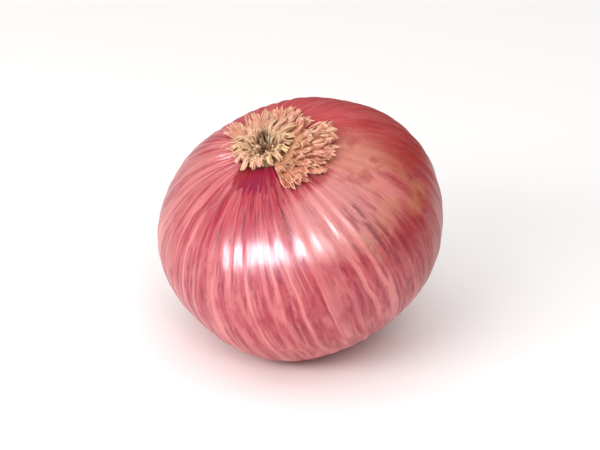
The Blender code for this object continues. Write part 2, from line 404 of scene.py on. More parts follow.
def root_level(radius):
    """The skin's height on the root half, at that distance from the axis."""
    share = np.clip(radius / BULB_RADIUS, 0, 1)
    dip = ROOT_FLATTENING * np.exp(-((radius / ROOT_DIP_WIDTH) ** 2))
    return ROOT_HEIGHT * np.sqrt(1 - share**2) - dip


def lobed(around, radius):
    """A distance from the axis, made a little out of round as the bulb is."""
    swell = sum(share * np.cos(waves * around + phase) for waves, share, phase in LOBES)
    return radius * (1 + swell * radius / BULB_RADIUS)


def polar(around, radius, level):
    """A point from its place round the axis, its distance from it and its height."""
    return np.array([radius * math.cos(around), radius * math.sin(around), level])


def bearings(count):
    """That many bearings round the axis, as one row."""
    return np.linspace(0, 2 * math.pi, count, endpoint=False)[None, :]


def ring(around, radius, level):
    """Points round the axis, as rows of x, y and z."""
    return np.stack([radius * np.cos(around), radius * np.sin(around), level + 0 * around], axis=-1)


def unit(vectors):
    """The vectors, each made 1 long."""
    return vectors / np.linalg.norm(vectors, axis=-1, keepdims=True)


def on_skin(around, radius, lift):
    """Points that far above the skin of the root half, as rows of x, y and z."""
    point = ring(around, lobed(around, radius), root_level(radius))
    normal = unit(point / np.array([BULB_RADIUS, BULB_RADIUS, ROOT_HEIGHT]) ** 2)
    return point + normal * lift[..., None]


def ripple(chance, around, along, waves, drift, count):
    """A seamless rise and fall round the bulb, from waves that drift sideways along it."""
    total = np.zeros(np.broadcast(around, along).shape)
    for _ in range(count):
        number = chance.randint(*waves)
        slant = chance.uniform(-drift, drift) * along
        total += np.cos(number * around + slant + chance.uniform(0, 6.3))
    return total / math.sqrt(count / 2)


def smooth_step(value, low, high):
    """0 to 1, smoothly, as the value goes from low to high."""
    share = np.clip((value - low) / (high - low), 0, 1)
    return share * share * (3 - 2 * share)


def grid_faces(rows, columns, closed):
    """Four-cornered faces over rows of corners, joined round where closed."""
    index = np.arange(rows * columns).reshape(rows, columns)
    if closed:
        index = np.column_stack([index, index[:, 0]])
    corners = (index[:-1, :-1], index[:-1, 1:], index[1:, 1:], index[1:, :-1])
    return np.stack(corners, -1).reshape(-1, 4)


def closed_tube(rows, columns, flipped=False):
    """Faces over rings of corners, closed at both ends."""
    ends = (np.arange(columns)[::-1], np.arange(columns) + (rows - 1) * columns)
    faces = [*grid_faces(rows, columns, True), *ends]
    return [face[::-1] for face in faces] if flipped else faces


def placed(name, data):
    """A new object in the scene."""
    made = bpy.data.objects.new(name, data)
    bpy.context.scene.collection.objects.link(made)
    return made


class Bundle:
    """Strips of corners and their faces, gathered into one mesh."""

    def __init__(self):
        self.points, self.faces, self.traits, self.count = [], [], {}, 0

    def add(self, points, faces, **traits):
        """Adds rows of corners, their faces and a value of each trait for every corner."""
        self.points.append(points.reshape(-1, 3))
        self.faces += [face + self.count for face in faces]
        for name, values in traits.items():
            spread = np.broadcast_to(values, points.shape[:2]).reshape(-1)
            self.traits.setdefault(name, []).append(spread)
        self.count += len(self.points[-1])

    def mesh(self):
        """Corners, faces and traits of the whole bundle."""
        traits = {name: np.concatenate(values) for name, values in self.traits.items()}
        return np.concatenate(self.points), self.faces, traits


def make_piece(name, parts, finish, nodes):
    """Makes a smooth piece of corners, faces and traits about the bulb's axis, on the frame."""
    points, faces, traits = parts
    mesh = bpy.data.meshes.new(name)
    points = points.reshape(-1, 3) @ TURN.T + MIDDLE
    mesh.from_pydata(points.tolist(), [], [list(map(int, f)) for f in faces])
    mesh.validate()
    mesh.shade_smooth()
    for trait, values in traits.items():
        layer = mesh.attributes.new(trait, "FLOAT", "POINT")
        layer.data.foreach_set("value", np.asarray(values, np.float32).reshape(-1))
    mesh.materials.append(finish)
    piece = placed(name, mesh)
    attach(piece, "root")
    if nodes:
        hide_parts(*nodes)
    return piece


def thicken(piece, thickness):
    """Gives a piece of thin skin its thickness, half to each side."""
    solid = piece.modifiers.new("thickness", "SOLIDIFY")
    solid.thickness = thickness
    solid.offset = 0


# Skin

SKIN_COLUMNS = 456
SKIN_START = 0.0042
SHOULDER_TURN = math.radians(36)
NECK_TURN = math.radians(150)
TEAR_BEARING = math.radians(-55)
TEAR_HALF = math.radians(47)
TEAR_START = 0.0062
TEAR_REACH = 0.0060
TEAR_TEETH = 0.0014
TEAR_SLOPE = 0.00028
PLEAT_RADIUS = 0.0095
PLEAT_SPREAD = 0.0058
UNDER_PLATE = (0.0030, PLATE_UNDER - 0.0003)  # where the skin closes: distance out, height
NECK_PROFILE = (  # distance from the axis, height above the rim
    (0.0059, -0.00016),
    (0.0056, -0.00022),
    (0.0054, 0),
    (0.0053, 0.0009),
    (0.0052, NECK_HOLLOW),
    (0.0040, NECK_HOLLOW),
    (0.0004, NECK_HOLLOW),
)


def skin_rows():
    """Turns from the root end to the neck's rim, closest together round the root end."""
    root_end = np.linspace(math.asin(SKIN_START / BULB_RADIUS), SHOULDER_TURN, 84)
    belly = np.linspace(SHOULDER_TURN, NECK_TURN, 96)[1:]
    neck = np.linspace(NECK_TURN, math.pi - math.asin(NECK_RADIUS / BULB_RADIUS), 20)[1:]
    return np.concatenate([root_end, belly, neck])


def torn_edge(around):
    """How far from the axis the outer skin is torn away, round the root end."""
    chance = random.Random(5)
    apart = np.abs((around - TEAR_BEARING + math.pi) % (2 * math.pi) - math.pi)
    hill = np.clip(1 - (apart / TEAR_HALF) ** 2, 0, 1) ** 0.6
    teeth = ripple(chance, around, 0 * around, (18, 74), 0, 12)
    return TEAR_START + hill * (TEAR_REACH + TEAR_TEETH * teeth)


def skin_relief(around, turn, radius, choices):
    """The skin's rise above the plain bulb, and where the inner skin shows."""
    chance = random.Random(31)
    belly = np.sin(turn)
    facets = ripple(chance, around, turn, (6, 12), 1.2, 6) * choices.facet_depth * belly
    dents = ripple(chance, around, turn * 4, (1, 6), 1.0, 9) * choices.dent_depth * belly
    ribs = ripple(chance, around, turn, (30, 64), 1.6, 16) * choices.rib_depth * np.sqrt(belly)
    near_root = np.exp(-(((radius - PLEAT_RADIUS) / PLEAT_SPREAD) ** 2)) * (turn < math.pi / 2)
    pleats = ripple(chance, around, turn, (24, 60), 1.0, 12) * choices.pleat_depth * near_root
    edge = torn_edge(around)
    bare = smooth_step(edge - radius, 0, TEAR_SLOPE) * (turn < math.pi / 2)
    return facets + dents + ribs + pleats - bare * choices.layer_step, bare


def pressed_flat(points):
    """Points of the bulb pressed up off the table: a flat spot and a faint slope round it."""
    world = points @ TURN.T + MIDDLE
    bulb = corners_of("bulb")
    spot = bulb[bulb[:, 2] < bulb[:, 2].min() + REST_BAND].mean(axis=0)
    away = np.linalg.norm(world[..., :2] - spot[:2], axis=-1)
    floor = np.maximum(0, away - REST_RADIUS) * REST_EASE
    world[..., 2] = np.where(world[..., 2] < floor, floor, world[..., 2])
    return (world - MIDDLE) @ TURN


def skin_mesh(choices):
    """Corners, faces and traits of the whole skin, closed under the root plate and in the neck."""
    turns = skin_rows()
    around = bearings(SKIN_COLUMNS)
    turn = turns[:, None]
    radius = BULB_RADIUS * np.sin(turn)
    level = np.where(turn < math.pi / 2, root_level(radius), NECK_HEIGHT * np.cos(turn))
    relief, bare = skin_relief(around, turn, radius + 0 * around, choices)
    points = ring(around, lobed(around, radius), level)
    height = np.where(turn < math.pi / 2, ROOT_HEIGHT, NECK_HEIGHT) + 0 * around
    wide = 0 * height + BULB_RADIUS
    normal = unit(points / np.stack([wide, wide, height], -1) ** 2)
    calm = 1 - smooth_step(turn, math.radians(158), math.radians(168))
    points += normal * (relief * calm)[..., None]
    points = pressed_flat(points)

    rows = [ring(around, *UNDER_PLATE), points]
    rows += [ring(around, out, NECK_RIM + up) for out, up in NECK_PROFILE]
    points = np.concatenate(rows)
    count = len(points)
    faces = closed_tube(count, SKIN_COLUMNS, flipped=True)
    traits = np.zeros((count, SKIN_COLUMNS))
    traits[1 : 1 + len(turns)] = bare
    return points, faces, {"bare": traits}


class SkinMap:
    """Where a spot is on the bulb, for a material: its turn from the root end and its bearing."""

    def __init__(self, finish):
        self.finish = finish
        east, north, level = (finish.place.part(axis) for axis in range(3))
        east, north = east / BULB_RADIUS, north / BULB_RADIUS
        above, below = level.sum("MAXIMUM", level, 0.0), level.sum("MINIMUM", level, 0.0)
        level = above / ROOT_HEIGHT + below / NECK_HEIGHT
        self.spot = finish.vector(east, north, level)
        out = (east * east + north * north) ** 0.5
        self.turn = out.sum("ARCTAN2", out, level)
        self.circle = finish.vector(east / out, north / out, 0.0)
        self.heading = self.spot.sum("NORMALIZE", self.spot)
        self.wander = self.spot.grain(2.1, 2.0, output="Color") - 0.5

    def stripes(self, across, along, loose=0.0):
        """Coordinates that run down the bulb: so many steps round it, and so many along it."""
        down = self.finish.vector(0.0, 0.0, self.turn * along)
        path = self.circle * across + down
        return path + self.wander * loose if loose else path

    def patch(self, around, turn, inner, outer):
        """1 within inner degrees of a spot on the bulb, falling to 0 at outer degrees."""
        theta = math.radians(turn)
        spot = tuple(polar(math.radians(around), math.sin(theta), math.cos(theta)))
        far, near = np.cos(np.radians((outer, inner))).tolist()
        return self.heading.dot(spot).rise(far, near)

    def lane(self, around, half):
        """1 along one meridian, falling to 0 half degrees to its sides."""
        along = tuple(polar(math.radians(around), 1, 0))
        far, near = np.cos(np.radians((half, 0.3 * half))).tolist()
        return self.circle.dot(along).rise(far, near)

    def band(self, start, full, end, gone):
        """1 between two turns from the root end, in degrees, fading in before and out after."""
        start, full, end, gone = (math.radians(v) for v in (start, full, end, gone))
        return self.turn.rise(start, full) * self.turn.rise(gone, end)


def skin_finish(colours):
    """Dry onion skin: pale veins, broken dark streaks, and regions from crimson to peach."""
    made = Finish("onion_skin")
    on = SkinMap(made)
    bare = made.trait("bare")

    broad = on.spot.grain(1.7, 3.0)
    feather = on.stripes(9.0, 3.4).grain(1.0, 4.0)
    ragged = (feather - 0.5) * 0.9

    # Regions of the skin
    root_zone = (on.turn + ragged * 0.45).rise(math.radians(64), math.radians(36))
    red_zone = root_zone * on.patch(-54, 38, 14, 33)
    low_zone = (on.turn + ragged * 0.3).rise(math.radians(84), math.radians(116))
    neck_zone = (on.turn + ragged * 0.12).rise(math.radians(154), math.radians(168))
    coral_zone = on.patch(92, 50, 30, 62)
    peach_zone = on.patch(14, 44, 17, 35) * (broad + ragged * 0.4).rise(0.18, 0.42)
    # Brick on the right flank is partly the skin's own deep hue and partly painted shadow
    brick_and_shadow_zone = on.patch(46, 96, 24, 50)
    blush_zone = on.patch(-136, 50, 12, 38) * (broad + ragged * 0.4).rise(0.30, 0.56)

    base = made.colour(colours.rose)
    for colour, share in (
        (colours.salmon, low_zone * 0.8 | broad.rise(0.52, 0.70) * 0.5),
        (colours.coral, coral_zone * 0.9),
        (colours.peach, peach_zone * 0.9),
        # The brick on the right flank and the upper right limb is partly the skin's own hue and
        # partly painted shadow
        (colours.brick, brick_and_shadow_zone * 0.92),
        (colours.brick, on.patch(104, 78, 18, 50) * 0.78),
        (colours.brick, on.patch(60, 57, 6, 24) * 0.6),
        (colours.crimson, red_zone * 0.9),
        (colours.blush, blush_zone * 0.45),
        (colours.petal, on.patch(-6, 47, 8, 24) * 0.75),
        (colours.gold, neck_zone * 0.75),
    ):
        base = base.tinted(colour, share)

    # Bands between the veins, full of short dark streaks
    apart = on.stripes(6.6, 0.36, 0.5).cell_edge(1.0)
    fine = on.stripes(23.0, 4.6, 0.8).grain(1.0, 4.0, 0.62)
    hair = on.stripes(70.0, 8.0, 0.8).grain(1.0, 3.0)
    dash = on.stripes(12.0, 3.2, 0.6).grain(1.0, 4.0, 0.62)
    broken = on.stripes(5.0, 5.0, 0.4).grain(1.0, 4.0, 0.62)
    quiet = 1 - (coral_zone * 0.75 | peach_zone * 0.6 | brick_and_shadow_zone * 0.4)
    inside = apart.rise(0.05, 0.17) * 0.7 + 0.3
    band = inside * (0.68 + broken.rise(0.36, 0.58) * 0.32)
    share = band * (fine.rise(0.42, 0.60) | 0.3) * 0.85
    belly_lane = on.lane(-18, 9) * on.band(56, 66, 96, 112)
    share = belly_lane * fine.rise(0.44, 0.58) * 0.8 | share
    share = (inside * dash.rise(0.52, 0.60) * broken.rise(0.40, 0.52) | share) * quiet
    dusky = on.patch(8, 78, 5, 17) * broken.rise(0.30, 0.50)
    share = dusky * fine.rise(0.40, 0.56) * 0.75 | share
    skin = base.tinted(base.tinted(colours.streak, 0.82), share)
    deep = fine.rise(0.50, 0.60) * dash.rise(0.46, 0.58)
    deep = deep | fine.rise(0.54, 0.64) * red_zone
    skin = skin.tinted(colours.maroon, deep * (red_zone * 0.85 | quiet * 0.28))

    # Pale veins
    faint = on.stripes(4.0, 2.2).grain(1.0).rise(0.30, 0.52)
    main_vein = (apart + (fine - 0.5) * 0.06).rise(0.13, 0.04) * (0.3 + faint * 0.7)
    thin_vein = on.stripes(17.0, 1.0, 1.0).cell_edge(1.0).rise(0.20, 0.05) * broken.rise(0.36, 0.56)
    split = on.stripes(15.0, 0.8, 0.6).grain(1.0, 2.0).rise(0.60, 0.46)
    vein_share = main_vein * (split * 0.5 + 0.5) | thin_vein * 0.55
    vein_share = vein_share * (1 - red_zone * 0.55) * (1 - (belly_lane | dusky) * 0.6)
    vein_share = vein_share * (1 - coral_zone * 0.75) * (1 - brick_and_shadow_zone * 0.7)
    pale = base.tinted(colours.vein, 0.92)
    skin = skin.tinted(pale, vein_share)
    skin = skin.tinted(colours.streak, hair.rise(0.5, 0.75) * 0.22)
    skin = skin.tinted(colours.vein, hair.rise(0.5, 0.25) * 0.20)

    # Blotches and single marks
    blotch = (on.spot.grain(5.5, 4.0, 0.6) + ragged * 0.16).rise(0.56, 0.66)
    mauve = blotch * on.patch(48, 46, 16, 40)
    skin = skin.tinted(colours.streak, mauve * 0.42)
    gold = on.patch(29, 57, 4, 13) | on.patch(31, 72, 3, 10)
    skin = skin.tinted(colours.gold, gold * (broad + ragged * 0.5).rise(0.3, 0.6) * 0.9)
    seam = on.lane(4, 7) * on.band(44, 52, 72, 86)
    skin = skin.tinted(colours.maroon, seam * fine.rise(0.40, 0.60) * 0.62)
    olive = on.lane(0, 3.5) * on.band(58, 64, 76, 84) * fine.rise(0.35, 0.6)
    skin = skin.tinted(colours.olive, olive * broken.rise(0.36, 0.56) * 0.5)
    speck = on.stripes(34.0, 9.0).cell(1.0).rise(0.16, 0.08) * on.spot.grain(6.0).rise(0.58, 0.66)
    skin = skin.tinted(colours.maroon, speck * 0.55)
    spot = on.patch(42, 69, 0.4, 2.2) * (hair + 0.3).rise(0.5, 0.9)
    skin = skin.tinted(colours.rust, spot * 0.75)

    # Inner skin where the outer one is torn away
    inner = made.colour(colours.fresh).tinted(colours.crimson, fine.rise(0.40, 0.62) * 0.7)
    inner = inner.tinted(colours.brick, on.patch(-96, 13, 4, 12) * 0.45)
    inner = inner.tinted(colours.purple, on.patch(-56, 22, 3, 10) * hair.rise(0.30, 0.60) * 0.55)
    inner = inner.tinted(colours.rose, on.stripes(40.0, 2.0).grain(1.0, 2.0).rise(0.58, 0.68) * 0.5)
    inner = inner.tinted(colours.streak, on.patch(-36, 17, 3, 9) * hair.rise(0.4, 0.6) * 0.5)
    # Painted shadow: dark crimson streaks on the skin just past the loose skin's lower and right
    # edges, where its shade falls
    under = on.lane(28, 68) * on.band(8, 14, 25, 29) | on.lane(-3, 28) * on.band(8, 14, 31, 35)
    skin = skin.tinted(colours.crimson, under * fine.rise(0.36, 0.56) * 0.75)
    skin = skin.tinted(inner, bare)

    rough = 0.34 + feather * 0.16 + peach_zone * 0.10 - bare * 0.04
    height = fine * 0.55 + vein_share * 0.5 + hair * 0.25 + on.spot.grain(16.0, 3.0) * 0.2
    made.bump(height, 0.00016, 0.55)
    matt = on.patch(95, 40, 34, 62)
    rough = rough + matt * 0.25
    gloss = (fine.rise(0.60, 0.40) * 0.6 + hair.rise(0.6, 0.4) * 0.4) * 0.22 + 0.18
    gloss = gloss * (1 - matt * 0.95)
    made.set(Coat_Weight=gloss, Coat_Roughness=0.20, Coat_IOR=1.75)
    return made.done(skin, rough, 0.25)


# Root end

STRAND_SIDES = 7
STRAND_SIDEWAYS = (0.13, 0.21, 0.97)
STUBS = 90
STRAY_HAIRS = 7
STRAY_RADIUS = 0.00007
HOLLOWS = ((142, 0.0035, 0.0013), (-30, 0.0017, 0.0011), (36, 0.0048, 0.0006))  # degrees, out, size
ROOT_TINTS = (  # degrees, out, size, colour, share
    (-105, 0.0066, 0.0024, "blush", 0.6),
    (-52, 0.0070, 0.0018, "blush", 0.6),
    (160, 0.0078, 0.0030, "blush", 0.6),
    (105, 0.0072, 0.0022, "blush", 0.5),
    (112, 0.0022, 0.0014, "moss", 0.7),
    (23, 0.0070, 0.0011, "straw", 0.9),
    # Brown at each hollow is the bare plate's own colour, deepened as painted shade down in the pit
    *((around, out, size, "brown", 0.92) for around, out, size in HOLLOWS),
)


def plate_point(around, share):
    """The corky plate's surface: share 0 is its middle, 1 its edge and 2 under its edge."""
    radius = PLATE_RADIUS * np.minimum(share, 1)
    top = PLATE_UNDER + PLATE_THICKNESS
    hollow = PLATE_HOLLOW * (1 + np.cos(math.pi * np.minimum(1, share / PLATE_SHOULDER))) / 2
    edge = PLATE_ROUNDING * np.clip((share - PLATE_SHOULDER) / (1 - PLATE_SHOULDER), 0, 1) ** 2
    down = (PLATE_THICKNESS - PLATE_ROUNDING) * np.clip(share - 1, 0, 1)
    return radius, top - hollow - edge - down


def plate_mesh():
    """Corners, faces and no traits of the root plate, with its pits and knobbly rings."""
    chance = random.Random(8)
    columns, rows = 120, 44
    around = bearings(columns)
    share = np.linspace(0.02, 2.0, rows)[:, None]
    radius, level = plate_point(around, share)
    knobs = ripple(chance, around, share * 9, (9, 26), 2.0, 14) * PLATE_KNOBS * np.clip(share, 0, 1)
    rings = PLATE_RINGS * np.cos(share * 34 + 1.2 * np.cos(3 * around))
    level = level + knobs + rings
    for phi, out, width, depth in PLATE_PITS:
        east = radius * np.cos(around) - out * math.cos(math.radians(phi))
        north = radius * np.sin(around) - out * math.sin(math.radians(phi))
        level = level - depth * np.exp(-(east**2 + north**2) / width**2)
    uneven = 0.04 * ripple(chance, around, share, (5, 17), 0, 6) * np.clip(share, 0, 1)
    radius = radius * (1 + uneven)
    return ring(around, radius, level), closed_tube(rows, columns, flipped=True), {}


def plate_finish(colours):
    """Corky brown, paler on its knobs."""
    made = Finish("root_cork")
    knob = made.place.grain(900.0, 5.0, 0.65)
    lump = made.place.grain(260.0, 3.0)
    body = made.colour(colours.brown).tinted(colours.tan, knob.rise(0.42, 0.68) * 0.7)
    body = body.tinted(colours.moss, lump.rise(0.52, 0.7) * 0.6)
    made.bump(knob, 0.00025, 0.8)
    return made.done(body, 0.7 + knob * 0.25, 0.25)


def bend(steps, *controls):
    """Points along one smooth bend led by four control points."""
    share = np.linspace(0, 1, steps)[:, None]
    a, b, c, d = (np.array(p, float) for p in controls)
    rest = 1 - share
    return rest**3 * a + 3 * rest**2 * share * b + 3 * rest * share**2 * c + share**3 * d


def strand(bundle, path, radii, tone):
    """Adds one round strand along a path of points, with a radius at each and rounded ends."""
    ahead = unit(np.gradient(path, axis=0))
    side = unit(np.cross(ahead, STRAND_SIDEWAYS))
    up = np.cross(side, ahead)
    path = np.concatenate([path[:1], path, path[-1:] + ahead[-1:] * radii[-1] * 0.5])
    radii = np.concatenate([[radii[0] * 0.3], radii, [radii[-1] * 0.35]])
    side = np.concatenate([side[:1], side, side[-1:]])
    up = np.concatenate([up[:1], up, up[-1:]])
    turn = bearings(STRAND_SIDES)[..., None]
    spokes = side[:, None] * np.cos(turn) + up[:, None] * np.sin(turn)
    points = path[:, None] + spokes * radii[:, None, None]
    faces = closed_tube(len(path), STRAND_SIDES)
    bundle.add(points, faces, tone=tone, along=np.linspace(0, 1, len(path))[:, None])


def root_bundle(choices):
    """The trimmed roots: bunches that bend over the plate's edge, short stubs and stray hairs."""
    chance = random.Random(21)
    bundle = Bundle()
    top = PLATE_UNDER + PLATE_THICKNESS
    pitch = 2 * math.pi / choices.clumps
    for clump in range(choices.clumps):
        middle = pitch * (clump + chance.uniform(-0.22, 0.22))
        behind = max(0.0, math.cos(middle - math.radians(140)))
        reach = choices.reach * chance.uniform(0.94, 1.06) + 0.0030 * behind
        perch = chance.uniform(0.0005, 0.0010)
        for _ in range(choices.strands):
            foot = middle + pitch * chance.uniform(-0.62, 0.62)
            start = chance.uniform(0.0030, 0.0054)
            tip = middle + pitch * chance.uniform(-0.24, 0.24)
            end = reach * chance.uniform(0.86, 1.0)
            rise = chance.uniform(0.0004, 0.0016)
            floor = float(root_level(np.array(end))) + perch + chance.uniform(0, 0.0007)
            path = bend(
                10,
                polar(foot, start, top - 0.0006),
                polar(foot, start + 0.0007, top + rise),
                polar(tip, 0.72 * end, max(top, floor) + 0.5 * rise + 0.0003),
                polar(tip, end, floor),
            )
            wobble = np.array([[chance.gauss(0, 1) for _ in range(3)] for _ in range(10)])
            path[1:] += 0.00004 * wobble[1:]
            size = choices.thickness * chance.uniform(0.7, 1.25)
            radii = size * np.linspace(1.0, chance.uniform(0.75, 1.05), 10)
            strand(bundle, path, radii, chance.random())
    for _ in range(STUBS):
        around, start = chance.uniform(0, 6.3), 0.0052 * math.sqrt(chance.uniform(0.01, 1))
        foot = polar(around, start, top - 0.0008)
        hollows = ((polar(math.radians(bearing), out, 0), size) for bearing, out, size in HOLLOWS)
        if any(math.dist(foot[:2], middle[:2]) < size for middle, size in hollows):
            continue
        lean, veer = chance.uniform(0.0003, 0.0012), around + chance.uniform(-1.2, 1.2)
        height = chance.uniform(0.0005, 0.0015)
        path = bend(
            7,
            foot,
            foot + polar(veer, 0.3 * lean, 0.0008 + 0.4 * height),
            foot + polar(veer, 0.6 * lean, 0.0008 + 0.8 * height),
            foot + polar(veer + 0.3, lean, 0.0008 + height),
        )
        size = choices.thickness * chance.uniform(0.9, 1.5)
        strand(bundle, path, size * np.linspace(1, 0.7, 7), chance.random())
    for _ in range(STRAY_HAIRS):
        around = math.radians(chance.uniform(90, 210))
        end = chance.uniform(0.0095, 0.0125)
        veer = around + chance.uniform(-0.5, 0.5)
        floor = float(root_level(np.array(end))) + chance.uniform(0.0003, 0.0012)
        path = bend(
            14,
            polar(around, 0.0045, top),
            polar(around, 0.0065, top + 0.0012),
            polar(veer, 0.8 * end, top + 0.0008),
            polar(veer, end, floor),
        )
        strand(bundle, path, np.full(14, STRAY_RADIUS), 0.6 + 0.3 * chance.random())
    return bundle.mesh()


def root_finish(colours):
    """Dry cream roots, brown where they leave the plate, each a little different."""
    made = Finish("root_fibre")
    tone, along = made.trait("tone"), made.trait("along")
    mottle = made.place.grain(1400.0, 4.0, 0.6)
    body = made.colour(colours.tan).tinted(colours.cream, tone.rise(0.10, 0.70))
    body = body.tinted(colours.moss, tone.rise(0.84, 0.92) * along.rise(0.75, 0.45) * 0.7)
    body = body.tinted(colours.brown, along.rise(0.40, 0.0) * 0.45)
    body = body.tinted(colours.cream, along.rise(0.7, 1.0) * 0.5)
    body = body.tinted(colours.brown, mottle.rise(0.56, 0.74) * 0.35)
    flat = made.vector(made.place.part(0), made.place.part(1), 0.0)
    # The brown tints round the hollows are painted shade, the others the roots' own colours
    for around, out, size, name, share in ROOT_TINTS:
        away = flat - (*polar(math.radians(around), out, 0)[:2], 0)
        near = away.length().rise(size * 1.6, size * 0.6)
        body = body.tinted(getattr(colours, name), near * share)
    made.bump(mottle, 0.0001, 0.6)
    return made.done(body, 0.62 + mottle * 0.2, 0.3)


# Loose skin

FLAP_ROWS = 26
FLAP_COLUMNS = 25
FLAP_CLEARANCE = 0.00026
SHEETS = (  # middle and half width, inner radius, length, lift, curl, freshness; angles in degrees
    (-9, 11, 0.0058, 0.0086, 0.00035, 15, 0.15),
    (8, 12, 0.0060, 0.0114, 0.00040, 20, 0.10),
    (26, 12, 0.0060, 0.0110, 0.00045, 25, 0.15),
    (44, 12, 0.0062, 0.0104, 0.00050, 30, 0.20),
    (60, 9, 0.0062, 0.0098, 0.00045, 40, 0.40),
    (82, 12, 0.0062, 0.0064, 0.00035, 15, 0.90),
    (104, 11, 0.0062, 0.0070, 0.00040, 15, 0.95),
)
SCRAPS = (  # count, from and to, inner radius, length, half width, lift, most curl, freshness
    (12, -18, 28, 0.0074, 0.0090, 5.5, 0.0007, 70, 0.15),
    (9, 28, 62, 0.0074, 0.0090, 5.0, 0.0007, 150, 0.20),
    (16, -14, 76, 0.0060, 0.0052, 6.0, 0.0009, 110, 0.15),
    (6, 76, 112, 0.0062, 0.0050, 4.5, 0.0006, 60, 0.85),
    (13, 114, 190, 0.0060, 0.0080, 4.5, 0.0010, 40, 0.15),
    (9, 98, 186, 0.0058, 0.0052, 5.0, 0.0012, 60, 0.10),
    (4, 188, 226, 0.0062, 0.0024, 5.5, 0.0004, 40, 0.35),
)


def every_flap(chance):
    """Every flap: the broad sheets, and the narrow scraps strewn between two bearings."""
    yield from SHEETS
    for count, start, end, inner, length, half, lift, curl, fresh in SCRAPS:
        for number in range(count):
            middle = start + (end - start) * (number + 0.5 + chance.uniform(-0.45, 0.45)) / count
            size = chance.uniform(0.72, 1.08)
            turned = curl * chance.uniform(0.15, 1)
            rise = lift * chance.uniform(0.5, 1.2)
            spread = half * chance.uniform(0.6, 1.3)
            tone = min(1, max(0, fresh + chance.uniform(-0.25, 0.25)))
            start_at = inner + chance.uniform(-0.0006, 0.0010)
            yield middle, spread, start_at, length * size, rise, turned, tone


def flap_mesh(choices):
    """Corners, faces and traits of all the loose flaps round the root end."""
    chance = random.Random(14)
    across = np.linspace(-1, 1, FLAP_COLUMNS)[None, :]
    bundle = Bundle()
    for middle, half, inner, length, lift, curl, fresh in every_flap(chance):
        phase = chance.uniform(0, 6.3)
        wide = min(1.0, half / 10)
        teeth = ripple(chance, across * 2.6 * (0.4 + wide) + phase, 0 * across, (2, 9), 0, 7)
        skew = chance.uniform(-0.20, 0.20) * (1.3 - wide)
        reach = length * (1 - 0.14 * across**2 - 0.16 * across**6 + skew * across)
        reach = reach + choices.raggedness * 0.45 * teeth
        share = np.linspace(0, 1, FLAP_ROWS)[:, None]
        sway = ripple(chance, across * 1.8 + phase, share * 3, (1, 3), 1.5, 4)
        curled = math.radians(curl) * (1 + 0.35 * sway) * smooth_step(share, 0.55, 1.02)
        slope = curled + lift / length * 2 * share
        step = reach / (FLAP_ROWS - 1)
        ahead = np.cumsum(np.cos(slope) * step, axis=0) - np.cos(slope) * step
        up = np.cumsum(np.sin(slope) * step, axis=0) - np.sin(slope) * step
        narrow = 1 - chance.uniform(0.1, 0.45) * share**2
        twist = chance.uniform(-7, 7) * (1.1 - wide)
        around = np.radians(middle + across * half * narrow + twist * share)
        crinkle = ripple(chance, across * 2.4 * (0.3 + wide), share * 6, (1, 5), 2.0, 9)
        wave = (0.00010 * crinkle + 0.00010 * sway) * (0.3 + 0.7 * share)
        raised = FLAP_CLEARANCE + up + wave + 0.0004 * chance.random() * (1 - wide)
        points = on_skin(around, inner + ahead, np.maximum(0.00012, raised))
        lip = np.maximum(smooth_step(share, 0.78, 1), 0.6 * smooth_step(np.abs(across), 0.8, 1))
        faces = grid_faces(FLAP_ROWS, FLAP_COLUMNS, False)[:, ::-1]
        bundle.add(points, faces, lip=lip, fresh=fresh)
    return bundle.mesh()


def flap_finish(colours):
    """Thin dry skin: peach to pink, veined, pale at its edges."""
    made = Finish("loose_skin")
    on = SkinMap(made)
    lip, fresh = made.trait("lip"), made.trait("fresh")
    fine = on.stripes(26.0, 3.0).grain(1.0, 4.0, 0.6)
    mottle = made.place.grain(520.0, 4.0, 0.62)
    patches = made.place.grain(210.0, 3.0, 0.55)
    body = made.colour(colours.peach).tinted(colours.pink, fresh | fine.rise(0.52, 0.7) * 0.5)
    body = body.tinted(colours.brown, mottle.rise(0.50, 0.66) * 0.55)
    body = body.tinted(colours.tan, patches.rise(0.46, 0.62) * (1 - fresh * 0.7) * 0.8)
    body = body.tinted(colours.tan, on.turn.rise(0.42, 0.26) * on.lane(10, 80) * 0.75)
    body = body.tinted(colours.pale, on.lane(146, 75) * 0.45)
    body = body.tinted(colours.pale, lip * (0.2 + mottle.rise(0.62, 0.42) * 0.8))
    body = body.tinted(colours.pale, fine.rise(0.46, 0.3) * 0.4)
    made.bump(fine + mottle * 0.8, 0.00022, 0.8)
    return made.done(body, 0.46 + mottle * 0.25, 0.3)


# Neck


def neck_rings(chance):
    """Frayed rings of dried leaf bases that stand in the neck's hollow."""
    base = NECK_RIM + NECK_HOLLOW
    columns, steps = 180, 10
    around = bearings(columns)
    share = np.linspace(0, 1, steps)[:, None]
    bundle = Bundle()
    for radius, height in LEAF_RINGS:
        fray = ripple(chance, around, 0 * around, (7, 40), 0, 12)
        tall = height * (1 + 0.10 * fray) - 0.0002
        out = radius + 0.00010 * ripple(chance, around, share * 2, (2, 9), 1.0, 6)
        points = ring(around, out, base + 0.0001 - tall * share)
        bundle.add(points, grid_faces(steps, columns, True), lip=share**3)
    return bundle.mesh()


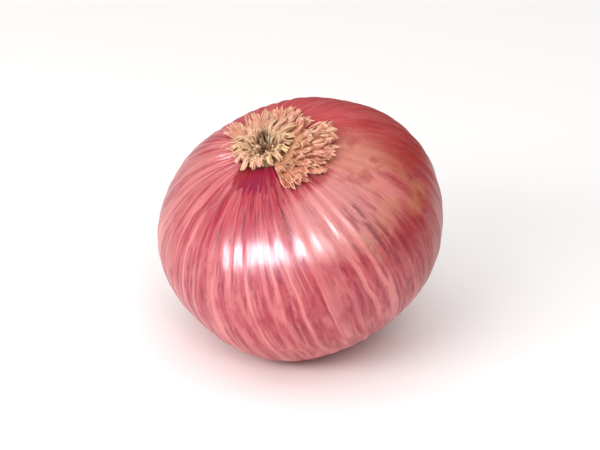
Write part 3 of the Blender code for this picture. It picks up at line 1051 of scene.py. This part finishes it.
def core_mesh(chance):
    """The neck's solid middle, with the hollows of two shrunken shoots."""
    columns, rows = 96, 40
    around = bearings(columns)
    share = np.linspace(0.03, 1.6, rows)[:, None]
    radius = CORE_RADIUS * np.minimum(share, 1)
    uneven = 0.03 * ripple(chance, around, share, (2, 9), 0, 5) * np.minimum(share, 1)
    radius = radius * (1 + uneven)
    edge = 0.0004 * np.clip((share - 0.8) / 0.2, 0, 1) ** 2
    down = 0.0014 * np.clip((share - 1) / 0.6, 0, 1)
    rough = 0.00011 * ripple(chance, around, share * 8, (2, 14), 1, 10)
    level = NECK_RIM + 0.00022 + edge + down + rough
    pits = 0
    for side, size, narrow in SHOOTS:
        east = radius * np.cos(around) - side * PIT_OFFSET
        north = radius * np.sin(around) * narrow
        ragged = 1 + 0.16 * ripple(chance, around, share * 6, (3, 9), 2, 6)
        pits = pits + np.exp(-(((east**2 + north**2) / (size * PIT_RADIUS) ** 2 * ragged) ** 1.3))
    level = level + PIT_DEPTH * pits
    return ring(around, radius, level), closed_tube(rows, columns), {"pit": np.clip(pits, 0, 1)}


def sheath_finish(colours):
    """Dark dried leaf bases with tan frayed edges."""
    made = Finish("neck_sheath")
    on = SkinMap(made)
    fine = on.stripes(30.0, 2.0).grain(1.0, 4.0)
    body = made.colour(colours.dark).tinted(colours.tan, fine.rise(0.5, 0.7) * 0.4)
    body = body.tinted(colours.tan, made.trait("lip") * 0.7)
    made.bump(fine, 0.00015, 0.8)
    return made.done(body, 0.62 + fine * 0.2, 0.3)


def flesh_finish(colours):
    """The pale dried middle of the neck, dark red in its hollows."""
    made = Finish("neck_flesh")
    mottle = made.place.grain(700.0, 5.0, 0.6)
    body = made.colour(colours.flesh).tinted(colours.tan, mottle.rise(0.46, 0.7) * 0.6)
    body = body.tinted(colours.dark, made.place.grain(900.0, 4.0).rise(0.48, 0.64) * 0.7)
    body = body.tinted(colours.pit, made.trait("pit").rise(0.05, 0.7) * 0.9)
    made.bump(mottle, 0.0001, 0.7)
    return made.done(body, 0.55 + mottle * 0.2, 0.35)


# Stage


def toward(azimuth, elevation):
    """The direction out to something at that azimuth and elevation."""
    level = math.cos(elevation)
    return Vector((math.sin(azimuth) * level, -math.cos(azimuth) * level, math.sin(elevation)))


def aim(obj, middle, azimuth, elevation, distance):
    """Puts an object out in that direction and turns it to face the middle."""
    away = toward(azimuth, elevation)
    obj.location = middle + away * distance
    obj.rotation_euler = away.to_track_quat("Z", "Y").to_euler()


LIGHTS = (  # name, azimuth and elevation in degrees, distance, width, height, power, colour
    ("window", 6, 29, 0.50, 0.50, 0.13, "window_power", (1.0, 0.97, 0.98)),
    ("window_glare", 11, 30, 0.50, 0.62, 0.15, "glare_power", (0.97, 0.91, 1.0)),
    ("overhead", 0, 88, 1.50, 2.50, 2.50, "top_power", (1.0, 1.0, 1.0)),
    ("side_light", 63, 38, 0.60, 0.18, 0.18, "side_power", (1.0, 0.98, 0.96)),
)


def soft_light(name, width, height, power, colour):
    """A rectangular light."""
    lamp = bpy.data.lights.new(name, "AREA")
    lamp.shape = "RECTANGLE"
    lamp.size = width
    lamp.size_y = height
    lamp.energy = power
    lamp.color = colour
    return placed(name, lamp)


def floor_mesh(size):
    """A wide flat sheet under the onion."""
    steps = np.linspace(-size, size, 9)
    east, north = np.meshgrid(steps, steps)
    points = np.stack([east, north, 0 * east], axis=-1).reshape(-1, 3)
    mesh = bpy.data.meshes.new("table_top")
    mesh.from_pydata(points.tolist(), [], grid_faces(9, 9, False).tolist())
    return mesh


class OBJECT_OT_onion_skin(bpy.types.Operator):
    """Build the bulb's veined skin"""

    bl_idname = "object.onion_skin"
    bl_label = "Skin"

    def execute(self, context):
        choices = context.scene.onion_skin
        make_piece("onion_skin", skin_mesh(choices), skin_finish(choices), ["bulb"])
        return {"FINISHED"}


class OBJECT_OT_onion_roots(bpy.types.Operator):
    """Build the root plate and its trimmed roots"""

    bl_idname = "object.onion_roots"
    bl_label = "Root End"

    def execute(self, context):
        choices = context.scene.onion_roots
        finish = plate_finish(choices)
        make_piece("root_plate_cork", plate_mesh(), finish, ["root_plate"])
        nodes = [name for name in NODE_NAMES if name.startswith("root_") and name != "root_plate"]
        parts, finish = root_bundle(choices), root_finish(choices)
        make_piece("root_stubs", parts, finish, nodes)
        return {"FINISHED"}


class OBJECT_OT_onion_flaps(bpy.types.Operator):
    """Build the loose skin round the root end"""

    bl_idname = "object.onion_flaps"
    bl_label = "Loose Skin"

    def execute(self, context):
        choices = context.scene.onion_flaps
        parts, finish = flap_mesh(choices), flap_finish(choices)
        nodes = [name for name in NODE_NAMES if name.startswith("skin_flap")]
        flaps = make_piece("loose_skin_flaps", parts, finish, nodes)
        thicken(flaps, choices.thickness)
        return {"FINISHED"}


class OBJECT_OT_onion_neck(bpy.types.Operator):
    """Build the cut neck"""

    bl_idname = "object.onion_neck"
    bl_label = "Neck"

    def execute(self, context):
        choices = context.scene.onion_neck
        chance = random.Random(17)
        parts, finish = neck_rings(chance), sheath_finish(choices)
        rings = make_piece("neck_leaf_bases", parts, finish, ["neck_sheath"])
        thicken(rings, LEAF_THICKNESS)
        make_piece("neck_core", core_mesh(chance), flesh_finish(choices), [])
        return {"FINISHED"}


class OBJECT_OT_onion_stage(bpy.types.Operator):
    """Set up the floor, the lights and the camera"""

    bl_idname = "object.onion_stage"
    bl_label = "Stage"

    def execute(self, context):
        scene = context.scene
        choices = scene.onion_stage
        low, high = FRAME_BOX
        middle = (Vector(low) + Vector(high)) / 2

        lens = bpy.data.cameras.new("camera")
        lens.lens = choices.lens
        lens.clip_start = 0.01
        camera = placed("camera", lens)
        aim(camera, middle, choices.azimuth, choices.elevation, choices.distance)
        scene.camera = camera

        for name, azimuth, elevation, distance, width, height, power, colour in LIGHTS:
            light = soft_light(name, width, height, getattr(choices, power), colour)
            aim(light, middle, math.radians(azimuth), math.radians(elevation), distance)
            if name in {"window", "window_glare"}:
                light.rotation_euler.rotate_axis("Z", LIGHT_ROLL)
            light.visible_diffuse = name != "window_glare"
            light.visible_glossy = name != "overhead"

        floor = placed("table_top", floor_mesh(FLOOR_HALF))
        made = Finish("table_top")
        tone = made.place.grain(6.0, 3.0)
        made.set(Base_Color=(*choices.floor, 1), Roughness=0.75 + tone * 0.1)
        floor.data.materials.append(made.material)

        world = bpy.data.worlds.new("soft_room")
        world.use_nodes = True
        sky = world.node_tree.nodes["Background"]
        sky.inputs["Color"].default_value = SKY_COLOUR
        sky.inputs["Strength"].default_value = choices.sky
        scene.world = world
        scene.view_settings.view_transform = "Standard"
        return {"FINISHED"}


class VIEW3D_PT_onion(bpy.types.Panel):
    """The onion's pieces, in the order that they are built"""

    bl_idname = "VIEW3D_PT_onion"
    bl_label = "Red Onion"
    bl_space_type = "VIEW_3D"
    bl_region_type = "UI"
    bl_category = "Onion"

    def draw(self, context):
        column = self.layout.column(align=True)
        for operator in OPERATORS:
            column.operator(operator.bl_idname)
        for name, group in GROUPS.items():
            box = self.layout.box()
            box.label(text=group.__doc__)
            for choice in group.__annotations__:
                box.prop(getattr(context.scene, name), choice)


OPERATORS = (
    OBJECT_OT_onion_stage,
    OBJECT_OT_onion_skin,
    OBJECT_OT_onion_roots,
    OBJECT_OT_onion_flaps,
    OBJECT_OT_onion_neck,
)
GROUPS = {
    "onion_skin": OnionSkinSettings,
    "onion_roots": OnionRootSettings,
    "onion_flaps": OnionFlapSettings,
    "onion_neck": OnionNeckSettings,
    "onion_stage": OnionStageSettings,
}


def register():
    """Adds the settings, the operators and the panel."""
    for group in GROUPS.values():
        bpy.utils.register_class(group)
    for name, group in GROUPS.items():
        setattr(bpy.types.Scene, name, bpy.props.PointerProperty(type=group))
    for made in (*OPERATORS, VIEW3D_PT_onion):
        bpy.utils.register_class(made)


def unregister():
    """Takes them all away again."""
    for made in reversed((*OPERATORS, VIEW3D_PT_onion)):
        bpy.utils.unregister_class(made)
    for name in GROUPS:
        delattr(bpy.types.Scene, name)
    for group in reversed(GROUPS.values()):
        bpy.utils.unregister_class(group)


def main():
    """Builds the onion and its stage."""
    for old in list(bpy.data.objects):
        if old.name in {"Cube", "Light", "Camera"}:
            bpy.data.objects.remove(old, do_unlink=True)
    register()
    bpy.ops.object.onion_stage()
    bpy.ops.object.onion_skin()
    bpy.ops.object.onion_roots()
    bpy.ops.object.onion_flaps()
    bpy.ops.object.onion_neck()


if __name__ == "__main__":
    main()
